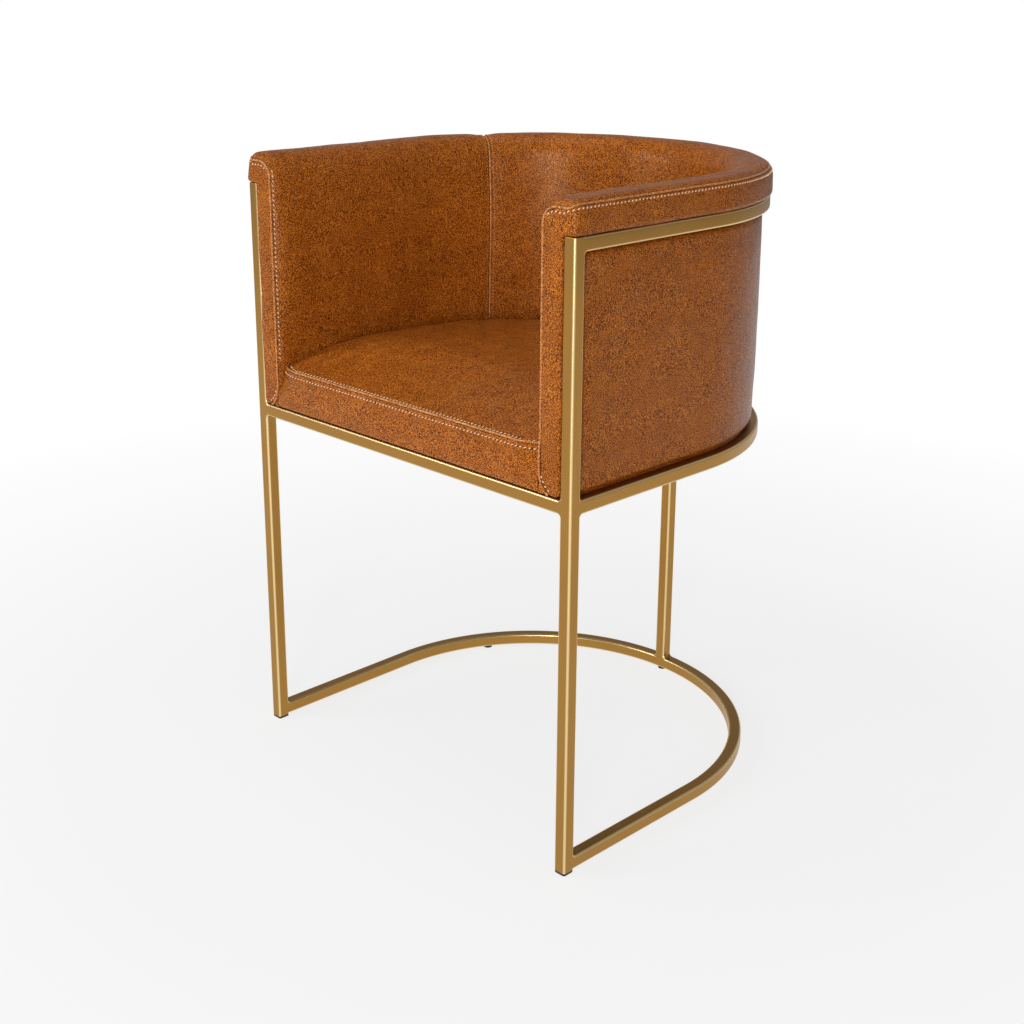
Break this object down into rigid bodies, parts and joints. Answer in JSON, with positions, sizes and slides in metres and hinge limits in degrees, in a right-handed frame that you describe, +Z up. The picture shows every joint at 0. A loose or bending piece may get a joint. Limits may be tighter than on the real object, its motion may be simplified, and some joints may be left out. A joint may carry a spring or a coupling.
{
  "type": "dining chair",
  "caption": "Barrel dining armchair with a square-tube metal frame on a U-shaped floor rail, carrying a rolled-edge leather bucket back and a crowned leather seat.",
  "frame": {"origin": "on the floor, under the middle of the chair's bounding box", "axes": "+Z up, the chair faces -Y, and +X is on the right as seen from the front; the chair is symmetric about the YZ plane"},
  "size_m": [0.544, 0.5056, 0.754],
  "materials": {
    "frame_brass": "satin brushed",
    "zinc_steel": "zinc plated",
    "black_plastic": "matte",
    "tan_leather": "satin, fine pebble grain",
    "piping_leather": "satin, smooth",
    "plywood": "bare birch",
    "foam": "open cell",
    "black_cloth": "non-woven"
  },
  "bodies": {
    "root": {"front_post_left": "frame_brass", "front_post_right": "frame_brass", "front_rail": "frame_brass", "seat_rail": "frame_brass", "top_rail": "frame_brass", "floor_rail": "frame_brass", "rear_leg": "frame_brass", "post_caps": "frame_brass", "weld_fillets": "frame_brass", "foot_plugs": "black_plastic", "rail_pads": "black_plastic", "seat_tabs": "frame_brass", "seat_spacers": "black_plastic", "seat_screws": "zinc_steel", "seat_washers": "zinc_steel", "seat_tee_nuts": "zinc_steel", "shell_studs": "zinc_steel", "shell_nuts": "zinc_steel", "shell_core": "plywood", "core_screws": "zinc_steel", "outer_wadding": "foam", "inner_foam": "foam", "roll_foam": "foam", "arm_foam_left": "foam", "arm_foam_right": "foam", "outer_leather": "tan_leather", "band_leather": "tan_leather", "inner_leather_left": "tan_leather", "inner_leather_back": "tan_leather", "inner_leather_right": "tan_leather", "band_piping": "piping_leather", "seam_piping_left": "piping_leather", "seam_piping_right": "piping_leather", "seat_board": "plywood", "seat_foam": "foam", "seat_leather": "tan_leather", "seat_border": "tan_leather", "seat_piping": "piping_leather", "dust_cloth": "black_cloth", "dust_cloth_staples": "zinc_steel"}
  },
  "joints": []
}
